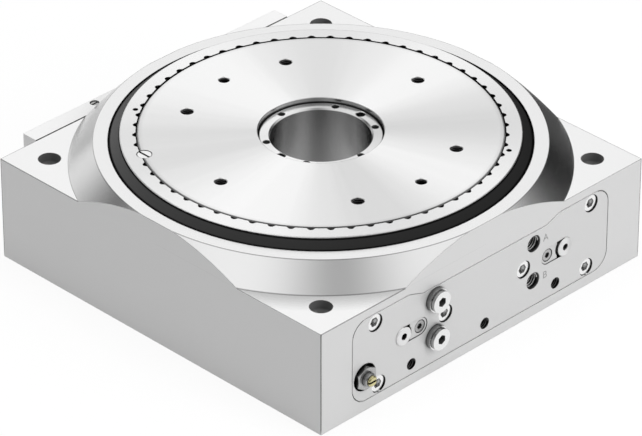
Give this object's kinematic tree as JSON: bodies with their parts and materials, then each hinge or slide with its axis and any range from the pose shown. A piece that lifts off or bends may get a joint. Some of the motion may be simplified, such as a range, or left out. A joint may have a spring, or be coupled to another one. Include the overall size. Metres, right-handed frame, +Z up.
{
  "type": "rotary indexing table",
  "caption": "Square pneumatic rotary indexing table: round turntable on a crossed-roller bearing, hollow standing hub, rack-and-gear drive, lock bolt and shock absorber.",
  "frame": {"origin": "on the turning axis, in the flat bottom mounting face", "axes": "+Z up along the turning axis; -Y towards the control cover with the air ports; +Y towards the rear cover"},
  "size_m": [0.248, 0.2654, 0.0815],
  "materials": {
    "housing_aluminium": "natural anodised, fine matt",
    "cover_aluminium": "natural anodised, fine matt",
    "plate_steel": "fine turned",
    "hub_steel": "turned, bright",
    "bearing_steel": "ground",
    "hardened_steel": "ground and hardened",
    "piston_steel": "ground",
    "screw_steel": "zinc plated",
    "plug_nickel": "nickel plated",
    "damper_steel": "zinc plated",
    "adjuster_brass": "turned",
    "sleeve_steel": "turned",
    "seal_rubber": "matt black",
    "gasket_rubber": "matt black",
    "bearing_bronze": "sintered",
    "guide_plastic": "matt",
    "spring_steel": "drawn wire"
  },
  "bodies": {
    "housing_body": {"housing": "housing_aluminium", "base_plate": "cover_aluminium", "base_plate_screws": "screw_steel", "buffer_pocket_cover": "cover_aluminium", "buffer_pocket_screws": "screw_steel", "hub_tube": "hub_steel", "hub_tube_screws": "screw_steel", "front_cover": "cover_aluminium", "front_cover_gasket": "gasket_rubber", "front_cover_screws": "screw_steel", "port_plug_upper": "plug_nickel", "port_plug_lower": "plug_nickel", "sensor_sleeve_left": "sleeve_steel", "sensor_sleeve_right": "sleeve_steel", "sleeve_clamp_left": "sleeve_steel", "sleeve_clamp_right": "sleeve_steel", "sleeve_clamp_screws": "screw_steel", "rear_cover": "cover_aluminium", "rear_cover_gasket": "gasket_rubber", "rear_cover_screws": "screw_steel", "rear_cover_grub_screws": "screw_steel", "bearing_outer_ring": "bearing_steel", "rim_seal": "seal_rubber", "lock_bolt_bush": "hardened_steel", "gear_thrust_washer": "bearing_bronze", "damper_body": "damper_steel", "damper_lock_nut": "damper_steel"},
    "table": {"rotary_plate": "plate_steel", "adjusting_ring": "plate_steel", "ring_locking_screw": "screw_steel", "bearing_inner_ring_upper": "bearing_steel", "bearing_inner_ring_lower": "bearing_steel", "index_plate": "hardened_steel", "index_bushes": "hardened_steel", "index_plate_screws": "screw_steel", "index_plate_dowels": "hardened_steel"},
    "roller_set": {"bearing_rollers": "bearing_steel", "bearing_cage": "guide_plastic"},
    "drive_slide": {"drive_piston": "piston_steel", "drive_piston_seals": "gasket_rubber", "drive_piston_guide_rings": "guide_plastic", "buffer_arm": "piston_steel", "buffer_arm_screw": "screw_steel"},
    "drive_wheel": {"drive_gear": "hardened_steel", "gear_bush": "bearing_bronze", "pawl_spring": "spring_steel"},
    "pawl": {"drive_pawl": "hardened_steel"},
    "lock_slide": {"lock_piston": "piston_steel", "lock_piston_seals": "gasket_rubber", "lock_piston_guide_rings": "guide_plastic"},
    "bolt": {"lock_bolt": "hardened_steel"},
    "damper_plunger": {"damper_rod": "piston_steel"},
    "damper_knob": {"damper_adjusting_screw": "adjuster_brass"}
  },
  "joints": [
    {"name": "table_turn", "type": "hinge", "parent": "housing_body", "child": "table", "pos_m": [0, 0, 0.0645], "axis": [0, 0, 1], "continuous": true},
    {"name": "roller_set_turn", "type": "hinge", "parent": "housing_body", "child": "roller_set", "pos_m": [0, 0, 0.0645], "axis": [0, 0, 1], "continuous": true},
    {"name": "drive_piston_slide", "type": "slide", "parent": "housing_body", "child": "drive_slide", "axis": [0, -1, 0], "range_m": [0, 0.02618]},
    {"name": "drive_gear_turn", "type": "hinge", "parent": "housing_body", "child": "drive_wheel", "pos_m": [0, 0, 0.0337], "axis": [0, 0, 1], "range_deg": [0, 30]},
    {"name": "drive_pawl_lift", "type": "slide", "parent": "drive_wheel", "child": "pawl", "axis": [0, 0, 1], "range_m": [0, 0.0045], "deforming": ["pawl_spring"]},
    {"name": "lock_piston_slide", "type": "slide", "parent": "housing_body", "child": "lock_slide", "axis": [0, -1, 0], "range_m": [0, 0.016]},
    {"name": "lock_bolt_lift", "type": "slide", "parent": "housing_body", "child": "bolt", "axis": [0, 0, 1], "range_m": [0, 0.005]},
    {"name": "damper_rod_slide", "type": "slide", "parent": "housing_body", "child": "damper_plunger", "axis": [0, -1, 0], "range_m": [0, 0.008], "stiffness_N_per_m": 600},
    {"name": "damper_screw_turn", "type": "hinge", "parent": "housing_body", "child": "damper_knob", "pos_m": [-0.0914, -0.1275, 0.0213], "axis": [0, -1, 0], "range_deg": [0, 360]}
  ],
  "couplings": [
    {"joint": "roller_set_turn", "follows": "table_turn", "ratio": 0.5},
    {"joint": "drive_gear_turn", "follows": "drive_piston_slide", "rad_per_m": 20},
    {"joint": "lock_bolt_lift", "follows": "lock_piston_slide", "ratio": 0.3125}
  ]
}
